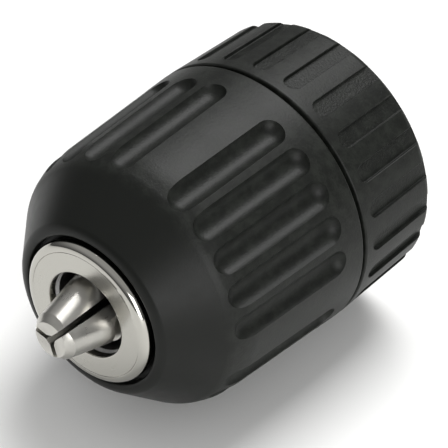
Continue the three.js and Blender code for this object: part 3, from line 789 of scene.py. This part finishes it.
class CHUCK_OT_jaws(bpy.types.Operator):
    """Model the sliding jaws that grip the tool"""

    bl_idname = "chuck.jaws"
    bl_label = "Jaws"

    def execute(self, context):
        sizes, steel, colours = scene_sizes()
        material = brushed_finish("jaw steel", colours.jaw, 0.3, 0.5 * MM, (1.5, 0.35, 1.5))
        for number in range(steel.jaw_count):
            place = steel.first_jaw + FULL_TURN * number / steel.jaw_count
            piece = self.jaw(steel, place)
            piece.rotation_euler = (0, place, 0)
            apply_place(piece)
            name = f"jaw_{number + 1}"
            finish_piece(piece, name + "_looks", material, name, name)
        return {"FINISHED"}

    def jaw(self, steel, place):
        """A jaw over +Z. Its teeth fit the nut's thread at its place round the axis."""
        piece = slanted_bar(steel, "jaw", steel.jaw_radius, 96)
        half = math.pi / steel.jaw_count
        apex = steel.jaw_gap / 2 / math.sin(half)
        for side in (-1, 1):
            outward = (side * math.cos(half), math.tan(steel.jaw_relief), -math.sin(half))
            trim(piece, (0, JAW_TIP, apex), outward)
        trim(piece, (0, 0, steel.grip_radius), (0, 0, -1))
        trim(piece, (0, JAW_TIP, 0), (0, -1, 0))
        trim(piece, (0, JAW_BACK, 0), (0, 1, 0))
        cut(piece, self.tip_limit(steel), "INTERSECT")
        cut(piece, self.teeth_gaps(steel, place))
        modify(
            piece, "BEVEL", width=steel.jaw_edge, segments=3, limit_method="ANGLE",
            angle_limit=math.radians(18), use_clamp_overlap=True, harden_normals=False,
        )
        smooth(piece, 20)
        return piece

    def tip_limit(self, steel):
        """The room inside the tip's bevel and inside the rear sleeve when the jaws are wide open."""
        flank = steel.jaw_radius / math.cos(steel.jaw_slant)
        bevel_back = JAW_TIP + steel.tip_bevel_length
        bevel_start = jaw_centre(steel, bevel_back) + flank
        bevel_slope = (bevel_start - flank + steel.tip_bevel) / steel.tip_bevel_length
        far = 30 * MM
        limit = turned(
            "tip_limit",
            [
                (0, JAW_TIP - MM),
                (flank - steel.tip_bevel - bevel_slope * MM, JAW_TIP - MM),
                (bevel_start, bevel_back),
                (far, bevel_back + far / 4),
                (far, 0),
                (0, 0),
            ],
            96,
            closed=False,
        )
        return limit

    def teeth_gaps(self, steel, place):
        flank = steel.jaw_radius / math.cos(steel.jaw_slant)
        first_ridge = NUT_BACK + place / FULL_TURN * steel.tooth_pitch
        first = first_ridge + math.ceil((JAW_BACK - first_ridge) / steel.tooth_pitch) * steel.tooth_pitch
        travel = (steel.shank_radius - steel.grip_radius) / math.tan(steel.jaw_slant)
        front = NUT_FRONT - travel - steel.tooth_pitch / 2
        count = math.floor((first - front) / steel.tooth_pitch) + 1
        gaps = []
        for number in range(count):
            y = first - number * steel.tooth_pitch
            start_afresh()
            bpy.ops.mesh.primitive_cube_add(size=1, location=(0, 0, 0))
            gap = bpy.context.object
            height = 4 * steel.tooth_depth
            gap.scale = (4 * steel.jaw_radius, steel.tooth_pitch - steel.tooth_width, height)
            gap.location = (0, y, jaw_centre(steel, y) + flank - steel.tooth_depth + height / 2)
            apply_place(gap)
            gaps.append(gap)
        return joined(gaps)


class CHUCK_OT_body(bpy.types.Operator):
    """Model the steel body with its spindle socket, shank bore and slanted jaw holes"""

    bl_idname = "chuck.body"
    bl_label = "Body"

    def execute(self, context):
        sizes, steel, colours = scene_sizes()
        piece = turned("chuck_body_looks", self.outline(steel), steel.steps, closed=False)
        cut(piece, turned("bores", self.bores(steel), steel.steps, closed=False))
        bar = slanted_bar(steel, "jaw_hole", steel.jaw_radius + steel.jaw_hole_gap, 64)
        places = [steel.first_jaw + FULL_TURN * number / steel.jaw_count for number in range(steel.jaw_count)]
        cut(piece, copies_round(bar, places))
        cut(piece, self.thread(steel))
        smooth(piece)
        material = turned_finish("body steel", colours.body, 0.34)
        finish_piece(piece, "chuck_body_looks", material, "body", "chuck_body")
        return {"FINISHED"}

    def outline(self, steel):
        hub = hub_radius(steel)
        hole = (steel.jaw_radius + steel.jaw_hole_gap) / math.cos(steel.jaw_slant)
        flange_front = REAR_RACE_BACK + RUNNING_GAP
        seat = jaw_centre(steel, flange_front) + hole + BEARING_SEAT_WALL
        groove_back = NUT_BACK + RUNNING_GAP
        groove_front = NUT_FRONT - NUT_END_GAP
        flank = steel.jaw_radius / math.cos(steel.jaw_slant)
        groove = jaw_centre(steel, NUT_FRONT) + flank - GROOVE_DEPTH
        shoulder = jaw_centre(steel, groove_front) + hole + SHOULDER_WALL
        shoulder_front = groove_front - SHOULDER_LENGTH
        nose = CAP_RADIUS - steel.cap_rim_lip - steel.cap_wall - RUNNING_GAP
        return [
            (0, 0),
            (hub, 0, STEEL_EDGE),
            (hub, DRUM_BACK),
            (DRUM_RADIUS, DRUM_BACK, STEEL_EDGE),
            (DRUM_RADIUS, flange_front, 0.2 * MM),
            (seat, flange_front),
            (seat, groove_back),
            (groove, groove_back),
            (groove, groove_front),
            (shoulder, groove_front),
            (shoulder, shoulder_front, STEEL_EDGE),
            (nose, shoulder_front),
            (nose, BODY_FRONT, STEEL_EDGE),
            (0, BODY_FRONT),
        ]

    def bores(self, steel):
        mouth = steel.thread_radius + STEEL_EDGE
        shank = steel.shank_radius + steel.shank_gap
        web_front = -steel.thread_depth - steel.screw_web
        return [
            (0, MM),
            (mouth, MM),
            (mouth, 0),
            (steel.thread_bore, steel.thread_bore - mouth),
            (steel.thread_bore, -steel.thread_depth),
            (steel.screw_hole, -steel.thread_depth),
            (steel.screw_hole, web_front),
            (shank, web_front),
            (shank, BODY_FRONT + STEEL_EDGE),
            (shank + STEEL_EDGE, BODY_FRONT),
            (shank + STEEL_EDGE, BODY_FRONT - MM),
            (0, BODY_FRONT - MM),
        ]

    def thread(self, steel):
        """A cutter for the spindle thread: its groove's outline carried along a screw path."""
        inside = steel.thread_bore - 0.3 * MM
        flank = (steel.thread_radius - inside) / math.sqrt(3)
        root = 0.08 * MM
        turns = math.floor(steel.thread_depth / steel.thread_pitch) - 1
        start = -steel.thread_pitch / 2
        outline = [
            (inside, start + flank),
            (steel.thread_radius, start + root),
            (steel.thread_radius, start - root),
            (inside, start - flank),
        ]
        piece = outline_piece("thread_cutter", outline, lambda radius, y: Vector((radius, y, 0)), True)
        leave_edit()
        modify(
            piece, "SCREW", axis="Y", screw_offset=-steel.thread_pitch, iterations=turns, angle=FULL_TURN,
            steps=32, render_steps=32, use_merge_vertices=False,
        )
        edit(piece)
        bpy.ops.mesh.select_all(action="SELECT")
        bpy.ops.mesh.remove_doubles(threshold=1e-7)
        bpy.ops.mesh.fill_holes(sides=0)
        bpy.ops.mesh.normals_make_consistent(inside=False)
        leave_edit()
        return piece


class CHUCK_OT_inner_finishes(bpy.types.Operator):
    """Finish the nut and the thrust bearing inside the sleeves"""

    bl_idname = "chuck.inner_finishes"
    bl_label = "Nut and Bearing"

    def execute(self, context):
        sizes, steel, colours = scene_sizes()
        nut = turned_finish("nut steel", colours.nut, 0.45)
        bearing = turned_finish("bearing steel", colours.bearing, 0.16)
        cage = cage_finish(colours)
        for name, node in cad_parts.items():
            if name.startswith("nut_"):
                self.repaint(node, nut)
            if name.startswith("bearing_ball") or name.endswith("thrust_race"):
                self.repaint(node, bearing)
            if name == "ball_cage":
                self.repaint(node, cage)
        return {"FINISHED"}

    def repaint(self, node, material):
        node.data.materials.clear()
        node.data.materials.append(material)


# ---------------------------------------------------------------- stage


class CHUCK_OT_stage(bpy.types.Operator):
    """Set up the pale floor, the soft lights and the camera"""

    bl_idname = "chuck.stage"
    bl_label = "Stage"

    def execute(self, context):
        colours = scene_sizes()[2]
        start_afresh()
        floor_height = -SLEEVE_RADIUS
        bpy.ops.mesh.primitive_plane_add(size=6, location=(0, 0, floor_height))
        floor = bpy.context.object
        floor.name = "pale_floor"
        floor.data.materials.append(floor_finish(colours))
        middle = Vector((0, -27 * MM, 0))
        self.light("ceiling_softbox", middle, azimuth=190, elevation=62, distance=1.3, size=0.74, power=16)
        self.light("right_strip", middle, azimuth=62, elevation=16, distance=0.7, size=0.4, power=3)
        context.scene.world = self.white_room()
        context.scene.view_settings.view_transform = "Standard"
        self.camera(context)
        return {"FINISHED"}

    def white_room(self):
        """A room whose walls are dim and whose ceiling is bright."""
        world = bpy.data.worlds.new("white_room")
        world.use_nodes = True
        nodes = world.node_tree.nodes
        links = world.node_tree.links
        direction = nodes.new("ShaderNodeTexCoord")
        parts = nodes.new("ShaderNodeSeparateXYZ")
        brightness = nodes.new("ShaderNodeMapRange")
        brightness.interpolation_type = "SMOOTHSTEP"
        brightness.inputs["From Min"].default_value = 0.0
        brightness.inputs["From Max"].default_value = 0.8
        brightness.inputs["To Min"].default_value = 0.1
        brightness.inputs["To Max"].default_value = 0.5
        links.new(direction.outputs["Generated"], parts.inputs["Vector"])
        links.new(parts.outputs["Z"], brightness.inputs["Value"])
        links.new(brightness.outputs["Result"], nodes["Background"].inputs["Strength"])
        nodes["Background"].inputs["Color"].default_value = (1, 1, 1, 1)
        return world

    def light(self, name, middle, azimuth, elevation, distance, size, power):
        """A square soft light that looks at the chuck. Azimuth 0 is in front of the nose, 90 towards +X."""
        turn = math.radians(azimuth)
        rise = math.radians(elevation)
        away = Vector((math.sin(turn) * math.cos(rise), -math.cos(turn) * math.cos(rise), math.sin(rise)))
        start_afresh()
        bpy.ops.object.light_add(type="AREA", location=middle + away * distance)
        light = bpy.context.object
        light.name = name
        light.rotation_euler = (-away).to_track_quat("-Z", "Y").to_euler()
        light.data.size = size
        light.data.energy = power
        return light

    def camera(self, context):
        turn = math.radians(40)
        rise = math.radians(37.4)
        distance = 346.5 * MM
        across = 3.67 * MM
        above = 3.95 * MM
        back = Vector((math.sin(turn) * math.cos(rise), -math.cos(turn) * math.cos(rise), math.sin(rise)))
        right = Vector((math.cos(turn), math.sin(turn), 0))
        up = back.cross(right)
        aim = Vector((0, (FRONT_SLEEVE_BACK + REAR_SLEEVE_FRONT) / 2, 0)) - across * right - above * up
        start_afresh()
        bpy.ops.object.camera_add(location=aim + back * distance)
        camera = bpy.context.object
        camera.name = "chuck_camera"
        camera.rotation_euler = Matrix((right, up, back)).transposed().to_euler()
        camera.data.lens = 189.1
        camera.data.sensor_width = 36
        camera.data.clip_start = 0.01
        camera.data.clip_end = 20
        context.scene.camera = camera


# ---------------------------------------------------------------- panel and start


class CHUCK_PT_panel(bpy.types.Panel):
    """Lists the steps that make the chuck"""

    bl_idname = "CHUCK_PT_panel"
    bl_label = "Keyless Drill Chuck"
    bl_space_type = "VIEW_3D"
    bl_region_type = "UI"
    bl_category = "Drill Chuck"

    def draw(self, context):
        for operator in OPERATORS:
            self.layout.operator(operator.bl_idname)


SIZE_GROUPS = (ChuckSleeveSizes, ChuckSteelSizes, ChuckColours)
OPERATORS = (
    CHUCK_OT_front_sleeve,
    CHUCK_OT_rear_sleeve,
    CHUCK_OT_nose_cap,
    CHUCK_OT_jaws,
    CHUCK_OT_body,
    CHUCK_OT_inner_finishes,
    CHUCK_OT_stage,
)


def register():
    for kind in (*SIZE_GROUPS, *OPERATORS, CHUCK_PT_panel):
        bpy.utils.register_class(kind)
    bpy.types.Scene.chuck_sleeves = bpy.props.PointerProperty(type=ChuckSleeveSizes)
    bpy.types.Scene.chuck_steel = bpy.props.PointerProperty(type=ChuckSteelSizes)
    bpy.types.Scene.chuck_colours = bpy.props.PointerProperty(type=ChuckColours)


def unregister():
    del bpy.types.Scene.chuck_sleeves
    del bpy.types.Scene.chuck_steel
    del bpy.types.Scene.chuck_colours
    for kind in reversed((*SIZE_GROUPS, *OPERATORS, CHUCK_PT_panel)):
        bpy.utils.unregister_class(kind)


def main():
    register()
    bpy.ops.chuck.front_sleeve()
    bpy.ops.chuck.rear_sleeve()
    bpy.ops.chuck.nose_cap()
    bpy.ops.chuck.jaws()
    bpy.ops.chuck.body()
    bpy.ops.chuck.inner_finishes()
    bpy.ops.chuck.stage()


if __name__ == "__main__":
    main()
